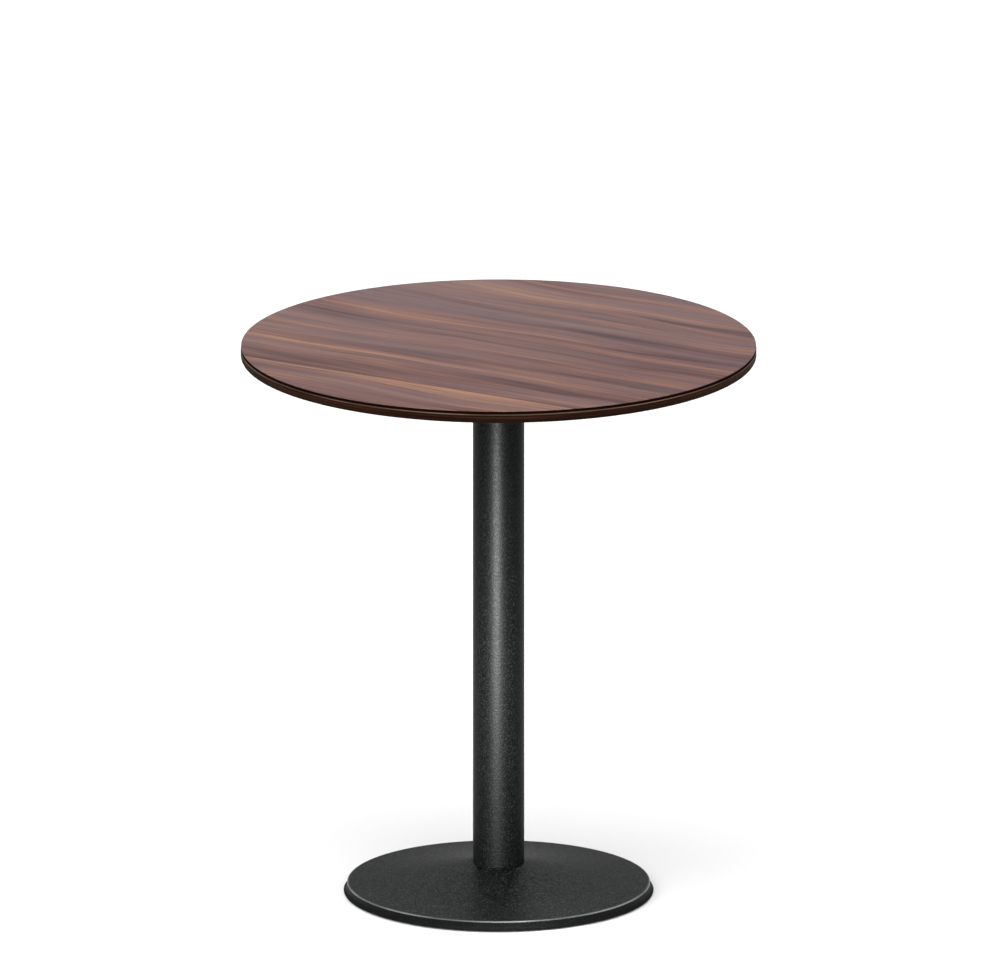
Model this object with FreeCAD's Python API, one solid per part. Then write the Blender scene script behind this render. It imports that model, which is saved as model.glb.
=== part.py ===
import FreeCAD, Part
import math
import os

from FreeCAD import Vector

# Round pedestal table: a laminated top on a cast spider, a steel column with a tie rod through it,
# and a pressed base cover over a cast weight with four screw glides.
# Millimetres. The floor is z = 0, and +Z is the axis of the column.

# Overall sizes
TABLE_HEIGHT = 770.0
TOP_DIAMETER = 700.0
COLUMN_DIAMETER = 70.0
BASE_DIAMETER = 422.0

# Sheets of the top
LAMINATE_THICKNESS = 0.8
CORE_THICKNESS = 16.0
BACKER_THICKNESS = 0.4
LAMINATE_SETBACK = 0.45
LAMINATE_EASING = 0.35

# Edge moulding
MOULDING_WIDTH = 8.0
GROOVE_HEIGHT = 3.4
GROOVE_DEPTH = 2.2
LEDGE_RADIUS = 0.9
ROUNDOVER_RADIUS = 7.0
TONGUE_LENGTH = 8.0
TONGUE_THICKNESS = 1.8
BARB_HEIGHT = 0.4
BARB_PITCH = 2.4
BARB_COUNT = 3
BARB_SHARE = 0.6
SLOT_RUNOUT = 1.0
SLOT_CLEARANCE = 0.05

# Spider
ARM_COUNT = 4
ARM_REACH = 240.0
ARM_ROOT_WIDTH = 52.0
ARM_TIP_WIDTH = 34.0
ARM_ROOT_DEPTH = 24.0
ARM_TIP_DEPTH = 8.0
ARM_PLATE = 5.0
ARM_RIB = 5.0
ARM_TIP_ROUNDING = 9.0
HUB_DIAMETER = 104.0
HUB_DEPTH = 14.0
HUB_EDGE_ROUNDING = 3.0
SPIGOT_DEPTH = 12.0
SPIGOT_CLEARANCE = 0.1
TUBE_SEAT_MARGIN = 1.0
FIRST_DIAGONAL = 45.0

# Screws into the board
SCREW_RADII = (120.0, 222.0)
SCREW_DIAMETER = 5.0
SCREW_BITE = 14.0
SCREW_TIP = 3.5
SCREW_POINT_RADIUS = 0.5
SCREW_HEAD_DIAMETER = 9.4
SCREW_HEAD_HEIGHT = 3.2
SCREW_HEAD_ROUNDING = 1.6
DRIVE_SLOT_LENGTH = 5.0
DRIVE_SLOT_WIDTH = 1.0
DRIVE_SLOT_DEPTH = 1.8
PLATE_HOLE_DIAMETER = 5.6

# Column and tie rod
TUBE_WALL = 2.0
FOOT_PLATE_THICKNESS = 6.0
ROD_DIAMETER = 10.0
ROD_HOLE_DIAMETER = 11.0
ROD_TOP_GAP = 0.4
ROD_PROTRUSION = 1.0
WASHER_BORE_DIAMETER = 10.6
NUT_ACROSS_FLATS = 16.0
NUT_HEIGHT = 8.0
NUT_POCKET_SPARE = 1.0
WASHER_THICKNESS = 2.0
WASHER_DIAMETER = 20.0
WIDE_WASHER_DIAMETER = 34.0
WIDE_WASHER_THICKNESS = 2.5
SPRING_WASHER_DIAMETER = 18.0
SPRING_WASHER_THICKNESS = 2.6
SPRING_WASHER_GAP = 1.2
NUT_POCKET_DIAMETER = 26.0

# Base cover
SHELL_THICKNESS = 2.0
RIM_CLEARANCE = 2.0
CREASE_RADIUS = 206.3
CREASE_HEIGHT = 14.75
CREASE_ROUNDING = 1.4
RIM_WAIST_RADIUS = 206.9
RIM_WAIST_HEIGHT = 8.6
RIM_TOE_HEIGHT = 0.8
RIM_FLARE_SHARE = 0.28
SEAT_RADIUS = 37.0
DOME_RIM_SLOPE = 5.0
DOME_HUB_SLOPE = 13.4

# Base weight
WEIGHT_RADIUS = 197.0
WEIGHT_BOTTOM = 7.0
WEIGHT_GAP = 1.0
FLANGE_BOTTOM = 9.0
FLANGE_TOP = 12.5
BLOCK_RADIUS = 150.0
BLOCK_DRAFT = 5.0
FLANGE_STEP = 2.0
CASTING_DRAFT = 1.0
BOSS_RADIUS = 34.0
BOSS_SHOULDER = 44.0
POCKET_RADIUS = 24.0
POCKET_CEILING = 22.0
GLIDE_BOSS_RADIUS = 13.0

# Screw glides
GLIDE_COUNT = 4
GLIDE_CIRCLE_RADIUS = 175.0
STUD_DIAMETER = 8.0
STUD_TOP = 15.4
STUD_CHAMFER = 0.8
THREAD_CLEARANCE = 0.05
HEX_ACROSS_FLATS = 13.0
HEX_BOTTOM = 4.2
HEX_TOP = 6.7
PAD_DIAMETER = 34.0
PAD_HEIGHT = 4.0
PAD_EDGE_ROUNDING = 1.4
SOCKET_DIAMETER = 9.2
SOCKET_FLOOR = 1.2
SOCKET_CLEARANCE = 0.05

# Heights and radii that follow from the sizes above
TOP_RADIUS = TOP_DIAMETER / 2
LAMINATE_BOTTOM = TABLE_HEIGHT - LAMINATE_THICKNESS
CORE_BOTTOM = LAMINATE_BOTTOM - CORE_THICKNESS
TOP_UNDERSIDE = CORE_BOTTOM - BACKER_THICKNESS
CORE_RADIUS = TOP_RADIUS - MOULDING_WIDTH
LAMINATE_RADIUS = TOP_RADIUS - LAMINATE_SETBACK
SLOT_HEIGHT = TONGUE_THICKNESS + 2 * BARB_HEIGHT + 2 * SLOT_CLEARANCE
SLOT_MIDDLE = (LAMINATE_BOTTOM + CORE_BOTTOM) / 2
HUB_BOTTOM = TOP_UNDERSIDE - HUB_DEPTH
TUBE_BORE_RADIUS = COLUMN_DIAMETER / 2 - TUBE_WALL
TOP_POCKET_FLOOR = TOP_UNDERSIDE - NUT_HEIGHT - WASHER_THICKNESS - NUT_POCKET_SPARE
TOE_RADIUS = BASE_DIAMETER / 2
DOME_RADIUS = (CREASE_RADIUS - SEAT_RADIUS) / (
    math.sin(math.radians(DOME_HUB_SLOPE)) - math.sin(math.radians(DOME_RIM_SLOPE))
)
DOME_CENTRE_RADIUS = CREASE_RADIUS + DOME_RADIUS * math.sin(math.radians(DOME_RIM_SLOPE))
DOME_CENTRE_HEIGHT = CREASE_HEIGHT + DOME_RADIUS * math.cos(math.radians(DOME_RIM_SLOPE))
FULL_TURN = 360.0
HEX_SIDES = 6
HEX_CHAMFER_RATIO = 0.6
NEAR = 0.01          # two edges this close count as one place
AXIS = Vector(0, 0, 1)
CENTRE = Vector(0, 0, 0)


def dome_height(radius, depth=0.0):
    """Height of the dished surface at a radius, or of the surface parallel to it at a depth below."""
    reach = DOME_RADIUS + depth
    return DOME_CENTRE_HEIGHT - math.sqrt(reach**2 - (radius - DOME_CENTRE_RADIUS) ** 2)


SEAT_HEIGHT = dome_height(SEAT_RADIUS)


def at(radius, height):
    """A point of a half section, in the XZ plane."""
    return Vector(radius, 0, height)


def turned(*steps):
    """Solid of revolution from a closed half section.

    Each step is a point, for a straight line to it, or a pair of points, for an arc that passes
    through the first and ends at the second. The first step is the start point.
    """
    edges = []
    here = steps[0]
    for step in steps[1:] + steps[:1]:
        if isinstance(step, tuple):
            through, there = step
            edges.append(Part.Arc(here, through, there).toShape())
        else:
            there = step
            edges.append(Part.LineSegment(here, there).toShape())
        here = there
    face = Part.Face(Part.Wire(edges))
    return face.revolve(CENTRE, AXIS, FULL_TURN)


def dome_arc(from_radius, to_radius, depth=0.0):
    """Arc step along the dished surface, or along the surface parallel to it at a depth below."""
    middle = (from_radius + to_radius) / 2
    return (
        at(middle, dome_height(middle, depth)),
        at(to_radius, dome_height(to_radius, depth)),
    )


def corner_arc(centre_radius, centre_height, size, first_angle, last_angle):
    """Arc step about a centre in the half section; angles in degrees from the outward radius."""
    points = []
    for angle in ((first_angle + last_angle) / 2, last_angle):
        turn = math.radians(angle)
        points.append(at(centre_radius + size * math.cos(turn), centre_height + size * math.sin(turn)))
    return tuple(points)


def rod(radius, bottom, top, place=CENTRE):
    """Upright cylinder between two heights."""
    return Part.makeCylinder(radius, top - bottom, place + Vector(0, 0, bottom))


def hexagon(across_flats, bottom, top, place=CENTRE):
    """Upright hexagonal prism between two heights, with its upper and lower corners turned off."""
    corner = across_flats / 2 / math.cos(math.pi / HEX_SIDES)
    corners = []
    for index in range(HEX_SIDES + 1):
        turn = 2 * math.pi * index / HEX_SIDES
        corners.append(place + Vector(corner * math.cos(turn), corner * math.sin(turn), bottom))
    prism = Part.Face(Part.makePolygon(corners)).extrude(Vector(0, 0, top - bottom))
    chamfer = corner - across_flats / 2
    barrel = rod(corner, bottom, top, place)
    rims = [edge for edge in barrel.Edges if edge.Closed]
    return prism.common(barrel.makeChamfer(chamfer * HEX_CHAMFER_RATIO, chamfer, rims))


def ring_edges(solid, radius, height):
    """Circular edges of a solid about the column's axis, at one radius and height."""
    found = []
    for edge in solid.Edges:
        box = edge.BoundBox
        if abs(box.ZMin - height) < NEAR and abs(box.ZMax - height) < NEAR:
            if abs(box.XMax - radius) < NEAR and abs(box.XMin + radius) < NEAR:
                found.append(edge)
    return found


def polar(radius, angle, height=0.0):
    """Point at a radius and an angle in degrees round the column's axis."""
    turn = math.radians(angle)
    return Vector(radius * math.cos(turn), radius * math.sin(turn), height)


def diagonal_angles(count):
    """Angles of equally spaced features, the first on a diagonal."""
    return [FIRST_DIAGONAL + FULL_TURN * index / count for index in range(count)]


# Top


def top_laminate():
    return turned(
        at(0, LAMINATE_BOTTOM),
        at(LAMINATE_RADIUS, LAMINATE_BOTTOM),
        at(LAMINATE_RADIUS, TABLE_HEIGHT - LAMINATE_EASING),
        at(LAMINATE_RADIUS - LAMINATE_EASING, TABLE_HEIGHT),
        at(0, TABLE_HEIGHT),
    )


def top_core():
    board = rod(CORE_RADIUS, CORE_BOTTOM, LAMINATE_BOTTOM)
    slot_inner = CORE_RADIUS - TONGUE_LENGTH - SLOT_RUNOUT
    slot = rod(TOP_RADIUS, SLOT_MIDDLE - SLOT_HEIGHT / 2, SLOT_MIDDLE + SLOT_HEIGHT / 2)
    slot = slot.cut(rod(slot_inner, CORE_BOTTOM, LAMINATE_BOTTOM))
    board = board.cut(slot)
    for place in screw_places():
        board = board.cut(screw_shank(place, THREAD_CLEARANCE))
    return board


def top_backer():
    sheet = rod(CORE_RADIUS, TOP_UNDERSIDE, CORE_BOTTOM)
    for place in screw_places():
        sheet = sheet.cut(rod(SCREW_DIAMETER / 2 + THREAD_CLEARANCE, TOP_UNDERSIDE, CORE_BOTTOM, place))
    return sheet


def edge_moulding():
    ledge_top = LAMINATE_BOTTOM - GROOVE_HEIGHT
    ledge_middle = ledge_top - LEDGE_RADIUS
    groove_radius = TOP_RADIUS - GROOVE_DEPTH
    roundover_height = TOP_UNDERSIDE + ROUNDOVER_RADIUS
    tongue_end = CORE_RADIUS - TONGUE_LENGTH
    tongue_top = SLOT_MIDDLE + TONGUE_THICKNESS / 2
    tongue_bottom = SLOT_MIDDLE - TONGUE_THICKNESS / 2
    first_root = CORE_RADIUS - BARB_PITCH * BARB_SHARE
    upper_barbs = []
    lower_barbs = []
    for index in range(BARB_COUNT):
        root = first_root - BARB_PITCH * index
        tip = root - BARB_PITCH * BARB_SHARE
        upper_barbs += [at(root, tongue_top + BARB_HEIGHT), at(tip, tongue_top)]
        lower_barbs += [at(root, tongue_bottom - BARB_HEIGHT), at(tip, tongue_bottom)]
        if index + 1 < BARB_COUNT:
            next_root = root - BARB_PITCH
            upper_barbs.append(at(next_root, tongue_top))
            lower_barbs.append(at(next_root, tongue_bottom))
    return turned(
        at(CORE_RADIUS, LAMINATE_BOTTOM),
        at(CORE_RADIUS, tongue_top),
        at(first_root, tongue_top),
        *upper_barbs,
        at(tongue_end, tongue_top),
        at(tongue_end, tongue_bottom),
        *lower_barbs[::-1],
        at(first_root, tongue_bottom),
        at(CORE_RADIUS, tongue_bottom),
        at(CORE_RADIUS, TOP_UNDERSIDE),
        at(TOP_RADIUS - ROUNDOVER_RADIUS, TOP_UNDERSIDE),
        corner_arc(TOP_RADIUS - ROUNDOVER_RADIUS, roundover_height, ROUNDOVER_RADIUS, -90, 0),
        at(TOP_RADIUS, ledge_middle),
        corner_arc(TOP_RADIUS - LEDGE_RADIUS, ledge_middle, LEDGE_RADIUS, 0, 90),
        at(groove_radius, ledge_top),
        at(groove_radius, LAMINATE_BOTTOM),
    )


# Spider under the top


def tapered_arm(side_margin, underside):
    """Tapered bar along +X that reaches below the top, as wide as the arm less a margin each side."""
    root = ARM_ROOT_WIDTH / 2 - side_margin
    tip = ARM_TIP_WIDTH / 2 - side_margin
    reach = ARM_REACH - side_margin
    plan = Part.makePolygon(
        [at_plan(0, -root), at_plan(reach, -tip), at_plan(reach, tip), at_plan(0, root), at_plan(0, -root)]
    )
    return Part.Face(plan).extrude(Vector(0, 0, underside - TOP_UNDERSIDE))


def at_plan(x, y):
    """A point in the plane of the top's underside."""
    return Vector(x, y, TOP_UNDERSIDE)


def spider_arm():
    """One arm along +X: a plate with a rib down each edge and across the tip, shallower at the tip."""
    arm = tapered_arm(0, TOP_UNDERSIDE - ARM_ROOT_DEPTH)
    tip_edges = [edge for edge in arm.Edges if is_upright(edge) and edge.BoundBox.XMin > ARM_REACH / 2]
    arm = arm.makeFillet(ARM_TIP_ROUNDING, tip_edges)
    pocket = tapered_arm(ARM_RIB, TOP_UNDERSIDE - ARM_ROOT_DEPTH)
    pocket.translate(Vector(0, 0, -ARM_PLATE))
    arm = arm.cut(pocket)
    below = TOP_UNDERSIDE - ARM_ROOT_DEPTH * 2
    side = Part.makePolygon(
        [
            at(HUB_DIAMETER / 2, TOP_UNDERSIDE - ARM_ROOT_DEPTH),
            at(ARM_REACH, TOP_UNDERSIDE - ARM_TIP_DEPTH),
            at(ARM_REACH * 2, TOP_UNDERSIDE - ARM_TIP_DEPTH),
            at(ARM_REACH * 2, below),
            at(HUB_DIAMETER / 2, below),
            at(HUB_DIAMETER / 2, TOP_UNDERSIDE - ARM_ROOT_DEPTH),
        ]
    )
    taper = Part.Face(side).extrude(Vector(0, ARM_ROOT_WIDTH * 2, 0))
    taper.translate(Vector(0, -ARM_ROOT_WIDTH, 0))
    inside_hub = rod(HUB_DIAMETER / 2 - HUB_EDGE_ROUNDING, below, TOP_UNDERSIDE)
    return arm.cut(taper).cut(inside_hub)


def is_upright(edge):
    """Whether an edge runs straight up and down."""
    box = edge.BoundBox
    return box.XLength < NEAR and box.YLength < NEAR


def top_spider():
    hub = rod(HUB_DIAMETER / 2, HUB_BOTTOM, TOP_UNDERSIDE)
    hub = hub.makeFillet(HUB_EDGE_ROUNDING, ring_edges(hub, HUB_DIAMETER / 2, HUB_BOTTOM))
    arm = spider_arm()
    for angle in diagonal_angles(ARM_COUNT):
        one = arm.copy()
        one.rotate(CENTRE, AXIS, angle)
        hub = hub.fuse(one)
    spigot = rod(TUBE_BORE_RADIUS - SPIGOT_CLEARANCE, HUB_BOTTOM - SPIGOT_DEPTH, HUB_BOTTOM)
    seat = rod(COLUMN_DIAMETER / 2 + TUBE_SEAT_MARGIN, HUB_BOTTOM - ARM_ROOT_DEPTH, HUB_BOTTOM)
    spider = hub.cut(seat).fuse(spigot).removeSplitter()
    spider = spider.cut(rod(ROD_HOLE_DIAMETER / 2, HUB_BOTTOM - SPIGOT_DEPTH, TOP_UNDERSIDE))
    spider = spider.cut(rod(NUT_POCKET_DIAMETER / 2, TOP_POCKET_FLOOR, TOP_UNDERSIDE))
    for place in screw_places():
        hole = rod(PLATE_HOLE_DIAMETER / 2, TOP_UNDERSIDE - ARM_PLATE, TOP_UNDERSIDE, place)
        spider = spider.cut(hole)
    return spider


def screw_places():
    """Where the board screws stand, two along each arm."""
    places = []
    for angle in diagonal_angles(ARM_COUNT):
        for radius in SCREW_RADII:
            places.append(polar(radius, angle))
    return places


def screw_shank(place, clearance=0.0):
    """Threaded length of a board screw above the top's underside, with its point."""
    radius = SCREW_DIAMETER / 2 + clearance
    shoulder = TOP_UNDERSIDE + SCREW_BITE - SCREW_TIP
    shank = rod(radius, TOP_UNDERSIDE - ARM_PLATE, shoulder, place)
    point_radius = SCREW_POINT_RADIUS + clearance
    point = Part.makeCone(radius, point_radius, SCREW_TIP + clearance, place + Vector(0, 0, shoulder))
    return shank.fuse(point).removeSplitter()


def spider_screws():
    screws = []
    head_top = TOP_UNDERSIDE - ARM_PLATE
    head_bottom = head_top - SCREW_HEAD_HEIGHT
    for place in screw_places():
        head = rod(SCREW_HEAD_DIAMETER / 2, head_bottom, head_top, place)
        low_edges = [edge for edge in head.Edges if edge.BoundBox.ZMax < head_top - NEAR]
        head = head.makeFillet(SCREW_HEAD_ROUNDING, low_edges)
        for length, width in ((DRIVE_SLOT_LENGTH, DRIVE_SLOT_WIDTH), (DRIVE_SLOT_WIDTH, DRIVE_SLOT_LENGTH)):
            corner = place + Vector(-length / 2, -width / 2, head_bottom)
            head = head.cut(Part.makeBox(length, width, DRIVE_SLOT_DEPTH, corner))
        screws.append(head.fuse(screw_shank(place)).removeSplitter())
    return Part.makeCompound(screws)


# Column and tie rod


def column_tube():
    tube = rod(COLUMN_DIAMETER / 2, SEAT_HEIGHT, HUB_BOTTOM)
    return tube.cut(rod(TUBE_BORE_RADIUS, SEAT_HEIGHT, HUB_BOTTOM))


def column_foot_plate():
    plate = rod(TUBE_BORE_RADIUS, SEAT_HEIGHT, SEAT_HEIGHT + FOOT_PLATE_THICKNESS)
    return plate.cut(rod(ROD_HOLE_DIAMETER / 2, SEAT_HEIGHT, SEAT_HEIGHT + FOOT_PLATE_THICKNESS))


def washer(diameter, bottom, thickness):
    ring = rod(diameter / 2, bottom, bottom + thickness)
    return ring.cut(rod(WASHER_BORE_DIAMETER / 2, bottom, bottom + thickness))


def nut(bottom):
    body = hexagon(NUT_ACROSS_FLATS, bottom, bottom + NUT_HEIGHT)
    return body.cut(rod(ROD_DIAMETER / 2 + THREAD_CLEARANCE, bottom, bottom + NUT_HEIGHT))


WIDE_WASHER_BOTTOM = POCKET_CEILING - WIDE_WASHER_THICKNESS
SPRING_WASHER_BOTTOM = WIDE_WASHER_BOTTOM - SPRING_WASHER_THICKNESS
BOTTOM_NUT_BOTTOM = SPRING_WASHER_BOTTOM - NUT_HEIGHT


def tie_rod():
    body = rod(ROD_DIAMETER / 2, BOTTOM_NUT_BOTTOM - ROD_PROTRUSION, TOP_UNDERSIDE - ROD_TOP_GAP)
    ends = [edge for edge in body.Edges if edge.Closed]
    return body.makeChamfer(STUD_CHAMFER, ends)


def tie_rod_top_washer():
    return washer(WASHER_DIAMETER, TOP_POCKET_FLOOR, WASHER_THICKNESS)


def tie_rod_top_nut():
    return nut(TOP_POCKET_FLOOR + WASHER_THICKNESS)


def tie_rod_bottom_washer():
    return washer(WIDE_WASHER_DIAMETER, WIDE_WASHER_BOTTOM, WIDE_WASHER_THICKNESS)


def tie_rod_spring_washer():
    ring = washer(SPRING_WASHER_DIAMETER, SPRING_WASHER_BOTTOM, SPRING_WASHER_THICKNESS)
    corner = Vector(0, -SPRING_WASHER_GAP / 2, SPRING_WASHER_BOTTOM)
    return ring.cut(Part.makeBox(SPRING_WASHER_DIAMETER, SPRING_WASHER_GAP, SPRING_WASHER_THICKNESS, corner))


def tie_rod_bottom_nut():
    return nut(BOTTOM_NUT_BOTTOM)


# Base


def base_shell():
    inner_crease = CREASE_RADIUS - SHELL_THICKNESS
    inner_waist = RIM_WAIST_RADIUS - SHELL_THICKNESS
    inner_toe = TOE_RADIUS - SHELL_THICKNESS
    toe_top = RIM_CLEARANCE + RIM_TOE_HEIGHT
    flare_radius = RIM_WAIST_RADIUS + (TOE_RADIUS - RIM_WAIST_RADIUS) * RIM_FLARE_SHARE
    flare_height = (RIM_WAIST_HEIGHT + toe_top) / 2
    shell = turned(
        at(ROD_HOLE_DIAMETER / 2, SEAT_HEIGHT),
        at(SEAT_RADIUS, SEAT_HEIGHT),
        dome_arc(SEAT_RADIUS, CREASE_RADIUS),
        at(RIM_WAIST_RADIUS, RIM_WAIST_HEIGHT),
        (at(flare_radius, flare_height), at(TOE_RADIUS, toe_top)),
        at(TOE_RADIUS, RIM_CLEARANCE),
        at(inner_toe, RIM_CLEARANCE),
        at(inner_toe, toe_top),
        (at(flare_radius - SHELL_THICKNESS, flare_height), at(inner_waist, RIM_WAIST_HEIGHT)),
        at(inner_crease, dome_height(inner_crease, SHELL_THICKNESS)),
        dome_arc(inner_crease, SEAT_RADIUS, SHELL_THICKNESS),
        at(ROD_HOLE_DIAMETER / 2, dome_height(SEAT_RADIUS, SHELL_THICKNESS)),
    )
    return shell.makeFillet(CREASE_ROUNDING, ring_edges(shell, CREASE_RADIUS, CREASE_HEIGHT))


def base_ballast():
    depth = SHELL_THICKNESS + WEIGHT_GAP
    seat_underside = dome_height(SEAT_RADIUS, SHELL_THICKNESS)
    block_top = dome_height(BLOCK_RADIUS, depth)
    weight = turned(
        at(ROD_HOLE_DIAMETER / 2, POCKET_CEILING),
        at(POCKET_RADIUS - CASTING_DRAFT, POCKET_CEILING),
        at(POCKET_RADIUS + CASTING_DRAFT, WEIGHT_BOTTOM),
        at(BLOCK_RADIUS, WEIGHT_BOTTOM),
        at(BLOCK_RADIUS + FLANGE_STEP, FLANGE_BOTTOM),
        at(WEIGHT_RADIUS, FLANGE_BOTTOM),
        at(WEIGHT_RADIUS - CASTING_DRAFT, FLANGE_TOP),
        at(BLOCK_RADIUS + BLOCK_DRAFT, FLANGE_TOP),
        at(BLOCK_RADIUS, block_top),
        dome_arc(BLOCK_RADIUS, BOSS_SHOULDER, depth),
        at(BOSS_RADIUS, seat_underside),
        at(ROD_HOLE_DIAMETER / 2, seat_underside),
    )
    for place in glide_places():
        weight = weight.fuse(rod(GLIDE_BOSS_RADIUS, WEIGHT_BOTTOM, FLANGE_TOP, place))
    weight = weight.removeSplitter()
    for place in glide_places():
        weight = weight.cut(rod(STUD_DIAMETER / 2 + THREAD_CLEARANCE, 0, STUD_TOP, place))
    return weight


# Glides


def glide_places():
    """Where the glides stand round the base."""
    return [polar(GLIDE_CIRCLE_RADIUS, angle) for angle in diagonal_angles(GLIDE_COUNT)]


def glide_pad(place):
    pad = rod(PAD_DIAMETER / 2, 0, PAD_HEIGHT, place)
    upper_edges = [edge for edge in pad.Edges if edge.BoundBox.ZMin > PAD_HEIGHT - NEAR]
    pad = pad.makeFillet(PAD_EDGE_ROUNDING, upper_edges)
    return pad.cut(rod(SOCKET_DIAMETER / 2, SOCKET_FLOOR, PAD_HEIGHT, place))


def glide_stud(place):
    foot_radius = SOCKET_DIAMETER / 2 - SOCKET_CLEARANCE
    foot = rod(foot_radius, SOCKET_FLOOR + SOCKET_CLEARANCE, HEX_BOTTOM, place)
    shank = rod(STUD_DIAMETER / 2, HEX_TOP, STUD_TOP, place)
    tip = [edge for edge in shank.Edges if edge.BoundBox.ZMin > STUD_TOP - NEAR]
    shank = shank.makeChamfer(STUD_CHAMFER, tip)
    collar = hexagon(HEX_ACROSS_FLATS, HEX_BOTTOM, HEX_TOP, place)
    return foot.fuse(collar).fuse(shank).removeSplitter()


PARTS = {
    "top_laminate": top_laminate,
    "top_core": top_core,
    "top_backer": top_backer,
    "edge_moulding": edge_moulding,
    "top_spider": top_spider,
    "spider_screws": spider_screws,
    "column_tube": column_tube,
    "column_foot_plate": column_foot_plate,
    "tie_rod": tie_rod,
    "tie_rod_top_nut": tie_rod_top_nut,
    "tie_rod_top_washer": tie_rod_top_washer,
    "tie_rod_bottom_nut": tie_rod_bottom_nut,
    "tie_rod_spring_washer": tie_rod_spring_washer,
    "tie_rod_bottom_washer": tie_rod_bottom_washer,
    "base_shell": base_shell,
    "base_ballast": base_ballast,
}


def main():
    os.makedirs("parts", exist_ok=True)
    shapes = {name: build() for name, build in PARTS.items()}
    for number, place in enumerate(glide_places(), start=1):
        shapes[f"glide_pad_{number}"] = glide_pad(place)
        shapes[f"glide_stud_{number}"] = glide_stud(place)
    for name, shape in shapes.items():
        shape.exportStep(f"parts/{name}.step")
        box = shape.BoundBox
        print(f"{name}: {len(shape.Solids)} solid(s), {shape.Volume / 1000:.1f} cm3, "
              f"r {box.XMax:.1f}, z {box.ZMin:.2f} to {box.ZMax:.2f}, valid {shape.isValid()}")


main()
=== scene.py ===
import math

import bmesh
import bpy
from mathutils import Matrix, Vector


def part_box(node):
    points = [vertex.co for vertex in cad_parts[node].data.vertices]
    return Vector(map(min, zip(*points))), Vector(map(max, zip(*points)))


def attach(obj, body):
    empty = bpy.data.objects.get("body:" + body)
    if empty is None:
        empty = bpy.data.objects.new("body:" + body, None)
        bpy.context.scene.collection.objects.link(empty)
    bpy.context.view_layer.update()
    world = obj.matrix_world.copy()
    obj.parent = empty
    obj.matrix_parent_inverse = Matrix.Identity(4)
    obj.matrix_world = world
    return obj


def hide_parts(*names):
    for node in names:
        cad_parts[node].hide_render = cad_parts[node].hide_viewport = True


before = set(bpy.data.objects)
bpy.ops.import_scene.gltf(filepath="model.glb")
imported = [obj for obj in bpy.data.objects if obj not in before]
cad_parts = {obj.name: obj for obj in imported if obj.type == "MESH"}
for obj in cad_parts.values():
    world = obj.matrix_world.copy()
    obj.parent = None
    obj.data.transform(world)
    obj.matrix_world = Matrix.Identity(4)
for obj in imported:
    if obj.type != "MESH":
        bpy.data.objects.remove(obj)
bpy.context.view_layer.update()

MM = 0.001
FINE = 360          # segments round the widest rings
MEDIUM = 160        # segments round the column
SMALL = 72          # segments round washers, studs and pads
THREAD_SIDES = 48
SMOOTH_ANGLE = math.radians(28)
BEVEL_ANGLE = math.radians(35)
WELD = 0.002 * MM   # points nearer than this become one
FLOOR_RADIUS = 9.0

# Places read from the CAD parts in model.glb
TOP_LOW, TOP_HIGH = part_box("top_laminate")
EDGE_LOW, EDGE_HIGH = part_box("edge_moulding")
CORE_LOW, CORE_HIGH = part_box("top_core")
TUBE_LOW, TUBE_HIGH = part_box("column_tube")
SHELL_LOW, SHELL_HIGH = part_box("base_shell")
ROD_LOW, ROD_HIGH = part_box("tie_rod")
GLIDES = (1, 2, 3, 4)

# Shape details that the boxes don't give, as in the design
LAMINATE_EASING = 0.35 * MM
GROOVE_HEIGHT = 3.4 * MM
GROOVE_DEPTH = 2.2 * MM
LEDGE_ROUNDING = 0.9 * MM
ROUNDOVER = 7.0 * MM
TONGUE_LENGTH = 8.0 * MM
TONGUE_THICKNESS = 1.8 * MM
EDGE_SEAM = 0.25 * MM
TUBE_WALL = 2.0 * MM
SHELL_THICKNESS = 2.0 * MM
CREASE_RADIUS = 206.3 * MM
CREASE_HEIGHT = 14.75 * MM
CREASE_ROUNDING = 1.4 * MM
WAIST_RADIUS = 206.9 * MM
WAIST_HEIGHT = 8.6 * MM
TOE_HEIGHT = 0.8 * MM
SEAT_RADIUS = 37.0 * MM
ROD_HOLE_RADIUS = 5.5 * MM
RIM_SLOPE = math.radians(5.0)
HUB_SLOPE = math.radians(13.4)
ROD_PITCH = 1.5 * MM
STUD_PITCH = 1.25 * MM
THREAD_SHARE = 0.54          # thread depth for each millimetre of pitch
STUD_RADIUS = 4.0 * MM
FOOT_RADIUS = 4.55 * MM
HEX_FLATS = 13.0 * MM
HEX_LOW = 4.2 * MM
HEX_HIGH = 6.7 * MM
ROD_THREAD = 40.0 * MM
WASHER_BORE = 10.6 * MM
GRAIN_TURN = math.radians(32)
PLANK_JOINT = 0.231          # the joint between the two printed planks, in front of the centre


# Mesh tools


def arc(centre, size, first_angle, sweep, steps):
    """Points along an arc in a half section; angles in radians from the outward radius."""
    points = []
    for index in range(steps + 1):
        turn = first_angle + sweep * index / steps
        points.append((centre[0] + size * math.cos(turn), centre[1] + size * math.sin(turn)))
    return points


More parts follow.
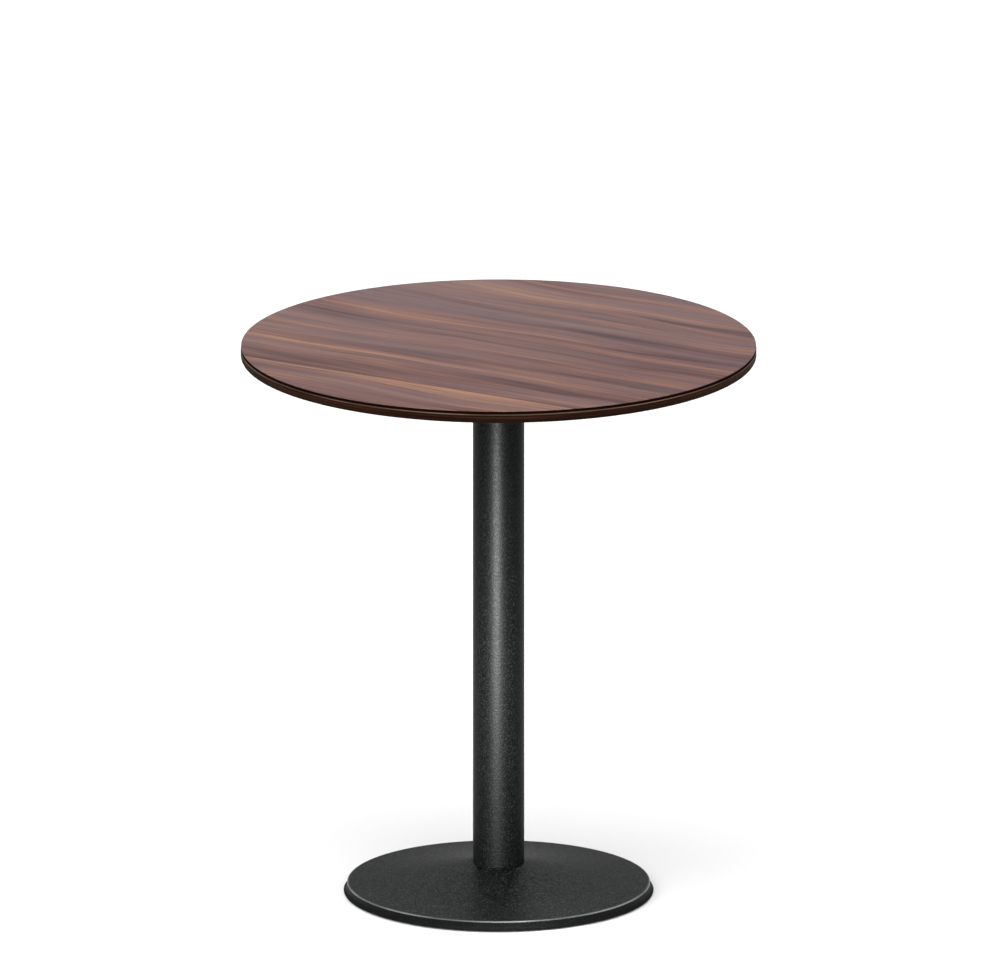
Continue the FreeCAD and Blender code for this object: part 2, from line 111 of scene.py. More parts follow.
def rounded_section(corners, steps=6):
    """Closed half section from corners (radius, height, rounding), each corner turned by an arc."""
    points = []
    count = len(corners)
    for index, (radius, height, rounding) in enumerate(corners):
        here = Vector((radius, height))
        back = Vector(corners[index - 1][:2]) - here
        ahead = Vector(corners[(index + 1) % count][:2]) - here
        if rounding == 0:
            points.append((radius, height))
            continue
        half = back.angle(ahead) / 2
        reach = min(rounding / math.tan(half), back.length * 0.49, ahead.length * 0.49)
        size = reach * math.tan(half)
        centre = here + (back.normalized() + ahead.normalized()).normalized() * (size / math.sin(half))
        start = here + back.normalized() * reach - centre
        end = here + ahead.normalized() * reach - centre
        first = math.atan2(start.y, start.x)
        sweep = math.remainder(math.atan2(end.y, end.x) - first, 2 * math.pi)
        points += arc(centre, size, first, sweep, steps)
    return points


def finished(name, mesh_data):
    """Closes a bmesh into a smooth-shaded object with sharp creases kept sharp."""
    bmesh.ops.remove_doubles(mesh_data, verts=mesh_data.verts, dist=WELD)
    bmesh.ops.recalc_face_normals(mesh_data, faces=mesh_data.faces)
    mesh = bpy.data.meshes.new(name)
    mesh_data.to_mesh(mesh)
    mesh_data.free()
    for face in mesh.polygons:
        face.use_smooth = True
    mesh.set_sharp_from_angle(angle=SMOOTH_ANGLE)
    piece = bpy.data.objects.new(name, mesh)
    bpy.context.scene.collection.objects.link(piece)
    return piece


def lathe(name, section, segments, place=(0, 0), gap=0.0, flats=None):
    """Turned piece from a closed half section.

    A gap leaves a straight cut of that width at the back. A width across flats turns whatever
    stands outside it into a hexagon with a corner on +X.
    """
    mesh_data = bmesh.new()
    widest = max(radius for radius, height in section)
    cut = gap / widest
    rings = segments + 1 if gap else segments
    start = math.pi / 2 + cut / 2
    columns = []
    for index in range(rings):
        turn = start + (2 * math.pi - cut) * index / segments
        column = []
        side_middle = math.radians(30)
        limit = flats / 2 / math.cos(turn % (2 * side_middle) - side_middle) if flats else widest
        for radius, height in section:
            reach = min(radius, limit)
            corner = (place[0] + reach * math.cos(turn), place[1] + reach * math.sin(turn), height)
            column.append(mesh_data.verts.new(corner))
        columns.append(column)
    count = len(section)
    for index in range(segments):
        here, ahead = columns[index], columns[(index + 1) % rings]
        for step in range(count):
            after = (step + 1) % count
            if section[step][0] == 0 and section[after][0] == 0:
                continue
            mesh_data.faces.new((here[step], here[after], ahead[after], ahead[step]))
    if gap:
        mesh_data.faces.new(columns[0])
        mesh_data.faces.new(columns[-1][::-1])
    return finished(name, mesh_data)


def threaded(name, radius, depth, pitch, low, high, place=(0, 0)):
    """Solid rod with a helical thread: crest, flank and root rows that climb one pitch a turn."""
    profile = ((0.0, 0.0), (0.12, 0.0), (0.46, -depth), (0.62, -depth))
    mesh_data = bmesh.new()
    turns = int((high - low) / pitch) + 3
    rows = []
    for turn_index in range(turns):
        for share, offset in profile:
            row = []
            for index in range(THREAD_SIDES):
                climb = index / THREAD_SIDES
                height = low + (turn_index - 1.5 + share + climb) * pitch
                inside = min(max(height, low), high)
                chamfer = max(0.0, depth - min(inside - low, high - inside))
                reach = min(radius + offset, radius - chamfer)
                angle = 2 * math.pi * index / THREAD_SIDES
                corner = (place[0] + reach * math.cos(angle), place[1] + reach * math.sin(angle), inside)
                row.append(mesh_data.verts.new(corner))
            rows.append(row)
    per_turn = len(profile)
    for number in range(len(rows) - per_turn - 1):
        for index in range(THREAD_SIDES):
            if index < THREAD_SIDES - 1:
                quad = (rows[number][index], rows[number][index + 1],
                        rows[number + 1][index + 1], rows[number + 1][index])
            else:
                quad = (rows[number][index], rows[number + per_turn][0],
                        rows[number + per_turn + 1][0], rows[number + 1][index])
            mesh_data.faces.new(quad)
    bmesh.ops.remove_doubles(mesh_data, verts=mesh_data.verts, dist=2 * WELD)
    bmesh.ops.dissolve_degenerate(mesh_data, edges=mesh_data.edges, dist=2 * WELD)
    open_edges = [edge for edge in mesh_data.edges if edge.is_boundary]
    bmesh.ops.holes_fill(mesh_data, edges=open_edges, sides=0)
    return finished(name, mesh_data)


def softened(name, node, width):
    """A copy of a CAD node's solid with its hard edges rounded off."""
    mesh_data = bmesh.new()
    mesh_data.from_mesh(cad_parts[node].data)
    bmesh.ops.remove_doubles(mesh_data, verts=mesh_data.verts, dist=WELD)
    bmesh.ops.dissolve_limit(
        mesh_data, angle_limit=math.radians(0.5), verts=mesh_data.verts, edges=mesh_data.edges
    )
    piece = finished(name, mesh_data)
    bevel = piece.modifiers.new("soft edges", "BEVEL")
    bevel.width = width
    bevel.segments = 2
    bevel.limit_method = "ANGLE"
    bevel.angle_limit = BEVEL_ANGLE
    bevel.use_clamp_overlap = True
    return piece


# Material tools


def new_material(name):
    """A material with an empty tree but for its shader, as (material, tree, shader)."""
    material = bpy.data.materials.new(name)
    material.use_nodes = True
    tree = material.node_tree
    shader = tree.nodes["Principled BSDF"]
    return material, tree, shader


def add(tree, kind, inputs=None, **settings):
    """Adds a node; inputs maps socket names or numbers to values or to other nodes' outputs."""
    node = tree.nodes.new(kind)
    for key, value in settings.items():
        setattr(node, key, value)
    for key, value in (inputs or {}).items():
        socket = node.inputs[key]
        if isinstance(value, bpy.types.NodeSocket):
            tree.links.new(value, socket)
        else:
            socket.default_value = value
    return node


def place_in_metres(tree, turn=0.0, stretch=(1, 1, 1)):
    """The piece's own coordinates, turned about the vertical and then stretched."""
    own = add(tree, "ShaderNodeTexCoord").outputs["Object"]
    turned = add(tree, "ShaderNodeVectorRotate", {"Vector": own, "Angle": turn}, rotation_type="Z_AXIS")
    scaled = add(tree, "ShaderNodeVectorMath", {0: turned.outputs[0], 1: stretch}, operation="MULTIPLY")
    return scaled.outputs[0]


def grain(tree, coords, scale, detail=2.0, roughness=0.5):
    """Noise of a scale in repeats per metre; detail adds finer layers."""
    node = add(tree, "ShaderNodeTexNoise",
               {"Vector": coords, "Scale": scale, "Detail": detail, "Roughness": roughness})
    return node.outputs["Fac"]


def maths(tree, operation, first, second):
    """One sum on two values or sockets."""
    return add(tree, "ShaderNodeMath", {0: first, 1: second}, operation=operation).outputs[0]


def spread(tree, value, low, high, new_low=0.0, new_high=1.0):
    """Maps a value's range low to high onto a new range, and stops at its ends."""
    node = add(tree, "ShaderNodeMapRange",
               {"Value": value, "From Min": low, "From Max": high,
                "To Min": new_low, "To Max": new_high})
    return node.outputs[0]


def ramp(tree, value, *stops):
    """Colour from a value; each stop is (position, colour)."""
    node = add(tree, "ShaderNodeValToRGB", {"Fac": value})
    band = node.color_ramp
    while len(band.elements) < len(stops):
        band.elements.new(0.5)
    for element, (position, colour) in zip(band.elements, stops):
        element.position = position
        element.color = (*colour, 1.0)
    return node.outputs["Color"]


def mixed(tree, share, first, second, blend="MIX"):
    """The first colour with a share of the second over it."""
    node = add(tree, "ShaderNodeMix", data_type="RGBA", blend_type=blend, clamp_factor=True)
    for socket, value in zip((node.inputs[0], node.inputs[6], node.inputs[7]), (share, first, second)):
        if isinstance(value, bpy.types.NodeSocket):
            tree.links.new(value, socket)
        else:
            socket.default_value = value if isinstance(value, float) else (*value, 1.0)
    return node.outputs[2]


def bumped(tree, shader, height, distance, strength):
    """Bump from a height, where one unit of it stands for a distance in metres."""
    node = add(tree, "ShaderNodeBump", {"Height": height, "Distance": distance, "Strength": strength})
    tree.links.new(node.outputs[0], shader.inputs["Normal"])


def join(tree, output, shader, socket):
    """Links an output to one of the shader's sockets."""
    tree.links.new(output, shader.inputs[socket])


# Materials


def wood_laminate():
    """Ribbon-striped red-brown decor of two planks: bands, long streaks, threads, fine pores."""
    material, tree, shader = new_material("wood_laminate")
    straight = place_in_metres(tree, GRAIN_TURN)
    along = add(tree, "ShaderNodeSeparateXYZ", {0: straight})
    past_joint = maths(tree, "ADD", along.outputs["Y"], PLANK_JOINT)
    plank = maths(tree, "GREATER_THAN", past_joint, 0.0)
    sway = grain(tree, place_in_metres(tree, GRAIN_TURN, (1.6, 3.0, 1)), 1.0, 2.0)
    shift = add(tree, "ShaderNodeCombineXYZ",
                {1: spread(tree, sway, 0.3, 0.7, -0.022, 0.022), 2: maths(tree, "MULTIPLY", plank, 5.3)})
    wavy = add(tree, "ShaderNodeVectorMath", {0: straight, 1: shift.outputs[0]}, operation="ADD")

    def streaks(length, width, detail, roughness=0.55):
        """Noise drawn out along the grain; length and width are repeats per metre."""
        scaled = add(tree, "ShaderNodeVectorMath",
                     {0: wavy.outputs[0], 1: (length, width, 1)}, operation="MULTIPLY")
        return grain(tree, scaled.outputs[0], 1.0, detail, roughness)

    bands = streaks(1.0, 13, 1.5)
    ribbons = streaks(2.2, 46, 3.0)
    threads = streaks(5, 260, 4.0)
    fibres = streaks(14, 640, 3.0)
    tone = maths(tree, "MULTIPLY", spread(tree, bands, 0.3, 0.7), 0.30)
    tone = maths(tree, "ADD", tone, maths(tree, "MULTIPLY", spread(tree, ribbons, 0.33, 0.67), 0.36))
    tone = maths(tree, "ADD", tone, maths(tree, "MULTIPLY", spread(tree, threads, 0.36, 0.64), 0.22))
    tone = maths(tree, "ADD", tone, maths(tree, "MULTIPLY", spread(tree, fibres, 0.34, 0.66), 0.12))
    colour = ramp(
        tree, tone,
        (0.24, (0.062, 0.027, 0.029)),
        (0.40, (0.135, 0.063, 0.057)),
        (0.56, (0.206, 0.094, 0.074)),
        (0.70, (0.282, 0.134, 0.086)),
        (0.84, (0.362, 0.188, 0.107)),
    )
    cool = spread(tree, streaks(1.8, 24, 2.0), 0.42, 0.64, 0.0, 0.6)
    colour = mixed(tree, cool, colour, (0.160, 0.104, 0.112))
    stripe = maths(tree, "MULTIPLY",
                   spread(tree, past_joint, -0.030, -0.008), spread(tree, past_joint, 0.0, -0.002))
    stripe = maths(tree, "MULTIPLY", stripe, spread(tree, threads, 0.36, 0.6, 0.1, 0.7))
    colour = mixed(tree, stripe, colour, (0.400, 0.205, 0.122))
    dark_threads = spread(tree, threads, 0.40, 0.26, 0.0, 0.45)
    colour = mixed(tree, dark_threads, colour, (0.050, 0.024, 0.026))
    joint = maths(tree, "MULTIPLY", spread(tree, past_joint, 0.009, 0.0), plank)
    colour = mixed(tree, maths(tree, "MULTIPLY", joint, 0.55), colour, (0.045, 0.026, 0.030))
    pores = spread(tree, streaks(38, 1500, 1.0), 0.64, 0.74, 0.0, 0.45)
    colour = mixed(tree, pores, colour, (0.040, 0.020, 0.018))
    join(tree, colour, shader, "Base Color")
    join(tree, spread(tree, fibres, 0.3, 0.7, 0.42, 0.54), shader, "Roughness")
    shader.inputs["Specular IOR Level"].default_value = 0.14
    height = maths(tree, "SUBTRACT", maths(tree, "MULTIPLY", fibres, 0.6), pores)
    bumped(tree, shader, height, 0.04 * MM, 0.5)
    return material


def brown_plastic():
    """Extruded dark brown edging with faint drawn lines; painted shade makes the groove near black and the
    band darker towards the bottom, and a patchy painted highlight runs paler along the ledge.
    """
    material, tree, shader = new_material("edge_plastic")
    coords = place_in_metres(tree)
    height = add(tree, "ShaderNodeSeparateXYZ", {0: coords}).outputs["Z"]
    ledge = EDGE_HIGH.z - GROOVE_HEIGHT
    lines = grain(tree, place_in_metres(tree, 0.0, (7, 7, 620)), 1.0, 4.0, 0.65)
    cloud = grain(tree, coords, 28, 3.0)
    base = ramp(
        tree, spread(tree, lines, 0.3, 0.7),
        (0.1, (0.0085, 0.0030, 0.0015)),
        (0.5, (0.0190, 0.0070, 0.0036)),
        (0.95, (0.0520, 0.0215, 0.0120)),
    )
    # painted shade: darker towards the bottom, where the round-over turns under
    painted_shade_low = spread(tree, height, EDGE_LOW.z + 9 * MM, EDGE_LOW.z + 2 * MM, 0.0, 0.6)
    base = mixed(tree, painted_shade_low, base, (0.0060, 0.0024, 0.0014))
    # painted highlight: a patchy paler band just below the ledge, where its rounding catches light
    scuff_and_painted_highlight = spread(tree, maths(tree, "ABSOLUTE", maths(tree, "SUBTRACT", height, ledge - 1.1 * MM), 0.0),
                     1.0 * MM, 0.3 * MM)
    patchy = grain(tree, coords, 9, 3.0)
    scuff_and_painted_highlight = maths(tree, "MULTIPLY", scuff_and_painted_highlight, spread(tree, patchy, 0.38, 0.62, 0.25, 1.0))
    base = mixed(tree, scuff_and_painted_highlight, base, (0.170, 0.098, 0.070))
    # painted shade: the groove and everything above the ledge are turned near black
    painted_groove_shade = spread(tree, height, ledge - 0.5 * MM, ledge - 0.2 * MM)
    base = mixed(tree, painted_groove_shade, base, (0.006, 0.003, 0.002))
    join(tree, base, shader, "Base Color")
    shader.inputs["Specular IOR Level"].default_value = 0.02
    join(tree, spread(tree, cloud, 0.3, 0.7, 0.5, 0.65), shader, "Roughness")
    bumped(tree, shader, maths(tree, "ADD", lines, maths(tree, "MULTIPLY", cloud, 0.6)), 0.05 * MM, 0.4)
    return material


def edge_wear(tree):
    """High on outward edges, broken up by a cloud, for paint and plastic worn by use."""
    pointed = add(tree, "ShaderNodeNewGeometry").outputs["Pointiness"]
    cloud = grain(tree, place_in_metres(tree), 160, 4.0)
    return maths(tree, "ADD", pointed, maths(tree, "MULTIPLY", maths(tree, "SUBTRACT", cloud, 0.5), 0.12))


def crease_highlight_and_wall_shade(tree, coords):
    """Two masks for the base cover: a painted highlight along its crease, and painted shade on the wall
    below.
    """
    height = add(tree, "ShaderNodeSeparateXYZ", {0: coords}).outputs["Z"]
    below_crease = maths(tree, "SUBTRACT", CREASE_HEIGHT - 0.6 * MM, height)
    # painted highlight: a patchy pale band along the crease rounding
    band = spread(tree, maths(tree, "ABSOLUTE", below_crease, 0.0), 1.1 * MM, 0.4 * MM)
    flat = add(tree, "ShaderNodeVectorMath", {0: coords, 1: (1, 1, 0)}, operation="MULTIPLY")
    radius = add(tree, "ShaderNodeVectorMath", {0: flat.outputs[0]}, operation="LENGTH").outputs["Value"]
    outside = spread(tree, radius, CREASE_RADIUS - 3 * MM, CREASE_RADIUS - 1.2 * MM)
    patchy = spread(tree, grain(tree, coords, 9, 3.0), 0.35, 0.6, 0.3, 0.9)
    # painted shade: the rim wall below the crease
    wall = maths(tree, "MULTIPLY", outside, spread(tree, height, 12.9 * MM, 12.2 * MM))
    return maths(tree, "MULTIPLY", maths(tree, "MULTIPLY", band, outside), patchy), wall


def powder_coat(name, grit, lump, dust, fleck, gloss):
    """Black textured powder coat: a fine grit over soft lumps, with paler worn edges, a painted highlight
    along the base cover's crease and painted shade on its rim wall.

    Grit and lump are in repeats per metre. Dust greys all of it, fleck is how pale the specks
    are, and gloss is the specular level.
    """
    material, tree, shader = new_material(name)
    coords = place_in_metres(tree)
    cells = add(tree, "ShaderNodeTexVoronoi", {"Vector": coords, "Scale": grit}, feature="SMOOTH_F1")
    fine = grain(tree, coords, grit * 1.2, 2.0, 0.6)
    lumps = grain(tree, coords, lump, 2.0)
    speckle = spread(tree, fine, 0.35, 0.75)
    specks = spread(tree, grain(tree, coords, grit * 1.15, 1.0), 0.5, 0.73)
    base = ramp(
        tree, speckle,
        (0.0, (0.0003, 0.0004, 0.0004)),
        (0.6, (0.0006, 0.0008, 0.0008)),
        (1.0, (0.0020, 0.0026, 0.0024)),
    )
    base = mixed(tree, specks, base, (fleck * 0.88, fleck, fleck * 0.97))
    base = mixed(tree, 1.0, base, (dust * 0.6, dust, dust), "ADD")
    worn = spread(tree, edge_wear(tree), 0.58, 0.7, 0.0, 0.35)
    painted_crease_highlight, wall = crease_highlight_and_wall_shade(tree, coords)
    # painted shade: the rim wall is darkened towards near black
    base = mixed(tree, maths(tree, "MULTIPLY", wall, 0.85), base, (0.0010, 0.0012, 0.0012))
    # paler on worn edges, which is real wear, and along the crease, which is a painted highlight
    base = mixed(tree, maths(tree, "MAXIMUM", worn, painted_crease_highlight), base, (0.260, 0.275, 0.272))
    join(tree, base, shader, "Base Color")
    roughness = spread(tree, fine, 0.3, 0.7, 0.38, 0.52)
    roughness = maths(tree, "SUBTRACT", roughness, maths(tree, "MULTIPLY", painted_crease_highlight, 0.2))
    roughness = maths(tree, "ADD", roughness, maths(tree, "MULTIPLY", wall, 0.2))
    join(tree, roughness, shader, "Roughness")
    shader.inputs["Specular IOR Level"].default_value = gloss
    height = maths(tree, "ADD", maths(tree, "MULTIPLY", cells.outputs["Distance"], 0.8), fine)
    height = maths(tree, "ADD", height, maths(tree, "MULTIPLY", lumps, 0.2))
    bumped(tree, shader, height, 0.3 * MM, 0.6)
    return material


def zinc_steel():
    """Bright zinc plate: cloudy blue-yellow passivation, drawn scratches, duller pits."""
    material, tree, shader = new_material("zinc_steel")
    coords = place_in_metres(tree)
    cloud = grain(tree, coords, 120, 4.0)
    scratches = grain(tree, place_in_metres(tree, 0.4, (900, 5000, 900)), 1.0, 3.0)
    base = ramp(
        tree, cloud,
        (0.3, (0.40, 0.41, 0.43)),
        (0.5, (0.55, 0.55, 0.53)),
        (0.7, (0.60, 0.57, 0.46)),
    )
    join(tree, base, shader, "Base Color")
    shader.inputs["Metallic"].default_value = 1.0
    join(tree, spread(tree, maths(tree, "ADD", scratches, cloud), 0.7, 1.3, 0.22, 0.5), shader, "Roughness")
    bumped(tree, shader, scratches, 0.02 * MM, 0.4)
    return material


def mill_steel():
    """Bare rolled steel plate: grey scale with darker blotches and saw lines."""
    material, tree, shader = new_material("bare_steel")
    blotch = grain(tree, place_in_metres(tree), 60, 5.0, 0.6)
    lines = grain(tree, place_in_metres(tree, 0.0, (1, 800, 800)), 2.0, 2.0)
    join(tree, ramp(tree, blotch, (0.3, (0.10, 0.10, 0.11)), (0.7, (0.28, 0.27, 0.26))), shader, "Base Color")
    shader.inputs["Metallic"].default_value = 0.9
    join(tree, spread(tree, blotch, 0.3, 0.7, 0.35, 0.6), shader, "Roughness")
    bumped(tree, shader, lines, 0.03 * MM, 0.4)
    return material


def cast_weight():
    """Dipped black casting: sandy skin, dull paint, rust at the worn high spots."""
    material, tree, shader = new_material("cast_weight")
    coords = place_in_metres(tree)
    sand = grain(tree, coords, 900, 4.0, 0.65)
    lumps = grain(tree, coords, 70, 4.0)
    base = ramp(tree, sand, (0.3, (0.010, 0.010, 0.010)), (0.7, (0.030, 0.030, 0.029)))
    rust = spread(tree, maths(tree, "ADD", lumps, edge_wear(tree)), 1.12, 1.24, 0.0, 0.75)
    base = mixed(tree, rust, base, (0.10, 0.042, 0.018))
    join(tree, base, shader, "Base Color")
    join(tree, spread(tree, sand, 0.3, 0.7, 0.55, 0.8), shader, "Roughness")
    bumped(tree, shader, maths(tree, "ADD", sand, maths(tree, "MULTIPLY", lumps, 2.0)), 0.35 * MM, 0.6)
    return material


def black_nylon():
    """Moulded black nylon: fine spark-eroded texture, greyed where it rubs on the floor."""
    material, tree, shader = new_material("glide_plastic")
    coords = place_in_metres(tree)
    texture = grain(tree, coords, 1800, 3.0)
    cloud = grain(tree, coords, 200, 4.0)
    height = add(tree, "ShaderNodeSeparateXYZ", {0: coords}).outputs["Z"]
    scuff_and_painted_highlight = spread(tree, maths(tree, "ADD", height, maths(tree, "MULTIPLY", cloud, 0.001)),
                     0.0014, 0.0004, 0.0, 0.6)
    base = ramp(tree, cloud, (0.3, (0.012, 0.012, 0.013)), (0.7, (0.024, 0.024, 0.025)))
    join(tree, mixed(tree, scuff_and_painted_highlight, base, (0.09, 0.085, 0.08)), shader, "Base Color")
    join(tree, spread(tree, cloud, 0.3, 0.7, 0.42, 0.6), shader, "Roughness")
    bumped(tree, shader, texture, 0.05 * MM, 0.5)
    return material


def particle_board():
    """Pressed wood chips of mixed tan tones."""
    material, tree, shader = new_material("board_core")
    coords = place_in_metres(tree, 0.0, (1, 1, 3))
    chips = add(tree, "ShaderNodeTexVoronoi", {"Vector": coords, "Scale": 420.0})
    tint = add(tree, "ShaderNodeSeparateColor", {0: chips.outputs["Color"]}).outputs[0]
    base = ramp(
        tree, tint, (0.1, (0.20, 0.12, 0.06)), (0.5, (0.42, 0.28, 0.15)), (0.9, (0.60, 0.45, 0.28))
    )
    join(tree, base, shader, "Base Color")
    shader.inputs["Roughness"].default_value = 0.85
    bumped(tree, shader, chips.outputs["Distance"], 0.3 * MM, 0.6)
    return material


def backer_sheet():
    """Dark brown balancing sheet: pebbled press texture, faint fibre clouds, a few drag marks."""
    material, tree, shader = new_material("backer_sheet")
    coords = place_in_metres(tree)
    pebble = grain(tree, coords, 1400, 2.0)
    cloud = grain(tree, coords, 9, 5.0, 0.6)
    drags = grain(tree, place_in_metres(tree, 0.9, (5, 420, 1)), 1.0, 3.0)
    base = ramp(tree, cloud, (0.3, (0.024, 0.017, 0.014)), (0.7, (0.042, 0.030, 0.025)))
    base = mixed(tree, spread(tree, drags, 0.68, 0.76, 0.0, 0.35), base, (0.11, 0.09, 0.08))
    join(tree, base, shader, "Base Color")
    join(tree, spread(tree, cloud, 0.3, 0.7, 0.5, 0.66), shader, "Roughness")
    bumped(tree, shader, pebble, 0.06 * MM, 0.5)
    return material


# Pieces


def placed(piece, body, node, material):
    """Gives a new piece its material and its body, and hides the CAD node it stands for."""
    piece.data.materials.clear()
    piece.data.materials.append(material)
    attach(piece, body)
    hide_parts(node)
    return piece


def top_sheet(material):
    """The laminate: a thin disc with its upper edge eased."""
    radius = TOP_HIGH.x
    section = rounded_section([
        (0, TOP_LOW.z, 0),
        (radius, TOP_LOW.z, 0.1 * MM),
        (radius, TOP_HIGH.z, LAMINATE_EASING),
        (0, TOP_HIGH.z, 0),
    ])
    return placed(lathe("top_sheet", section, FINE), "table", "top_laminate", material)


def edge_band(material):
    """The edging: groove, ledge and round-over outside, a tongue inside, a seam at the back."""
    radius = EDGE_HIGH.x
    inner = CORE_HIGH.x
    low, high = EDGE_LOW.z, EDGE_HIGH.z
    ledge = high - GROOVE_HEIGHT
    middle = (CORE_LOW.z + CORE_HIGH.z) / 2
    section = rounded_section([
        (inner, high, 0),
        (inner, middle + TONGUE_THICKNESS / 2, 0),
        (inner - TONGUE_LENGTH, middle + TONGUE_THICKNESS / 2, 0.4 * MM),
        (inner - TONGUE_LENGTH, middle - TONGUE_THICKNESS / 2, 0.4 * MM),
        (inner, middle - TONGUE_THICKNESS / 2, 0),
        (inner, low, 0),
        (radius, low, ROUNDOVER),
        (radius, ledge, LEDGE_ROUNDING),
        (radius - GROOVE_DEPTH, ledge, 0.3 * MM),
        (radius - GROOVE_DEPTH, high, 0),
    ], steps=10)
    band = lathe("edge_band", section, FINE, gap=EDGE_SEAM)
    return placed(band, "table", "edge_moulding", material)


def column(material):
    """The tube, its cut ends eased."""
    radius = TUBE_HIGH.x
    section = rounded_section([
        (radius - TUBE_WALL, TUBE_LOW.z, 0),
        (radius, TUBE_LOW.z, 0.6 * MM),
        (radius, TUBE_HIGH.z, 0.6 * MM),
        (radius - TUBE_WALL, TUBE_HIGH.z, 0),
    ])
    return placed(lathe("column", section, MEDIUM), "table", "column_tube", material)


def dome_points(first, last, depth, steps=40):
    """Points along the dished cover between two radii, at a depth below its outer face."""
    size = (CREASE_RADIUS - SEAT_RADIUS) / (math.sin(HUB_SLOPE) - math.sin(RIM_SLOPE))
    centre_radius = CREASE_RADIUS + size * math.sin(RIM_SLOPE)
    centre_height = CREASE_HEIGHT + size * math.cos(RIM_SLOPE)
    points = []
    for index in range(steps + 1):
        radius = first + (last - first) * index / steps
        drop = math.sqrt((size + depth) ** 2 - (radius - centre_radius) ** 2)
        points.append((radius, centre_height - drop))
    return points


def base_cover(material):
    """The dished cover with its rounded crease, and a rim wall that flares to the toe."""
    toe = SHELL_HIGH.x
    low = SHELL_LOW.z
    outer = dome_points(SEAT_RADIUS, CREASE_RADIUS - CREASE_ROUNDING, 0.0)
    inner = dome_points(CREASE_RADIUS - SHELL_THICKNESS, SEAT_RADIUS, SHELL_THICKNESS)
    seat = dome_points(SEAT_RADIUS, SEAT_RADIUS, SHELL_THICKNESS, 1)[0][1]
    crease_centre = (CREASE_RADIUS - CREASE_ROUNDING, outer[-1][1] - CREASE_ROUNDING)
    flare = [(WAIST_RADIUS + (toe - WAIST_RADIUS) * share**2,
              WAIST_HEIGHT + (low + TOE_HEIGHT - WAIST_HEIGHT) * share) for share in
             [step / 8 for step in range(9)]]
    section = [(ROD_HOLE_RADIUS, SHELL_HIGH.z)]
    section += outer
    section += arc(crease_centre, CREASE_ROUNDING, math.radians(80), math.radians(-80), 8)
    section += flare
    section += [(toe - 0.2 * MM, low), (toe - SHELL_THICKNESS, low)]
    section += [(radius - SHELL_THICKNESS, height) for radius, height in flare[::-1]]
    section += inner
    section += [(ROD_HOLE_RADIUS, seat)]
    cover = lathe("base_cover", section, FINE)
    return placed(cover, "table", "base_shell", material)


def glide_pad(number, nylon):
    """A moulded pad with a worn foot ring, a shallow recess inside it, and a socket for the stud."""
    low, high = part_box(f"glide_pad_{number}")
    place = ((low.x + high.x) / 2, (low.y + high.y) / 2)
    radius = (high.x - low.x) / 2
    socket = 4.6 * MM
    section = rounded_section([
        (0, 0.35 * MM, 0),
        (radius * 0.52, 0.35 * MM, 0.1 * MM),
        (radius * 0.56, 0.0, 0.1 * MM),
        (radius - 0.9 * MM, 0.0, 0.3 * MM),
        (radius, 0.9 * MM, 0.4 * MM),
        (radius, high.z, 1.4 * MM),
        (socket, high.z, 0.2 * MM),
        (socket, 1.2 * MM, 0),
        (0, 1.2 * MM, 0),
    ])
    pad = lathe(f"floor_pad_{number}", section, SMALL, place)
    placed(pad, f"glide_{number}_foot", f"glide_pad_{number}", nylon)


def glide_screw(number, zinc):
    """The stud: a foot that turns in the pad, a hexagon to turn it by, and a rolled thread."""
    low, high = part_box(f"glide_stud_{number}")
    place = ((low.x + high.x) / 2, (low.y + high.y) / 2)
    corner = HEX_FLATS / math.sqrt(3)
    section = rounded_section([
        (0, low.z, 0),
        (FOOT_RADIUS, low.z, 0.3 * MM),
        (FOOT_RADIUS, HEX_LOW, 0),
        (HEX_FLATS / 2, HEX_LOW, 0.1 * MM),
        (corner, HEX_LOW + 0.5 * MM, 0),
        (corner, HEX_HIGH - 0.5 * MM, 0),
        (HEX_FLATS / 2, HEX_HIGH, 0.1 * MM),
        (0, HEX_HIGH, 0),
    ], steps=3)
    body = lathe(f"glide_hexagon_{number}", section, SMALL, place, flats=HEX_FLATS)
    thread = threaded(f"glide_thread_{number}", STUD_RADIUS, STUD_PITCH * THREAD_SHARE, STUD_PITCH,
                      HEX_HIGH - 0.2 * MM, high.z, place)
    for piece in (body, thread):
        placed(piece, f"glide_{number}_screw", f"glide_stud_{number}", zinc)


def tie_rod(zinc):
    """The rod in three lengths: plain in the middle, with a rolled thread at each end."""
    radius = ROD_HIGH.x
    depth = ROD_PITCH * THREAD_SHARE
    lower_end = ROD_LOW.z + ROD_THREAD
    upper_end = ROD_HIGH.z - ROD_THREAD
    middle = rounded_section([
        (0, lower_end, 0),
        (radius - depth, lower_end, 0),
        (radius, lower_end + depth, 0.2 * MM),
        (radius, upper_end - depth, 0.2 * MM),
        (radius - depth, upper_end, 0),
        (0, upper_end, 0),
    ])
    pieces = (
        threaded("rod_lower_thread", radius, depth, ROD_PITCH, ROD_LOW.z, lower_end),
        lathe("rod_middle", middle, SMALL),
        threaded("rod_upper_thread", radius, depth, ROD_PITCH, upper_end, ROD_HIGH.z),
    )
    for piece in pieces:
        placed(piece, "table", "tie_rod", zinc)


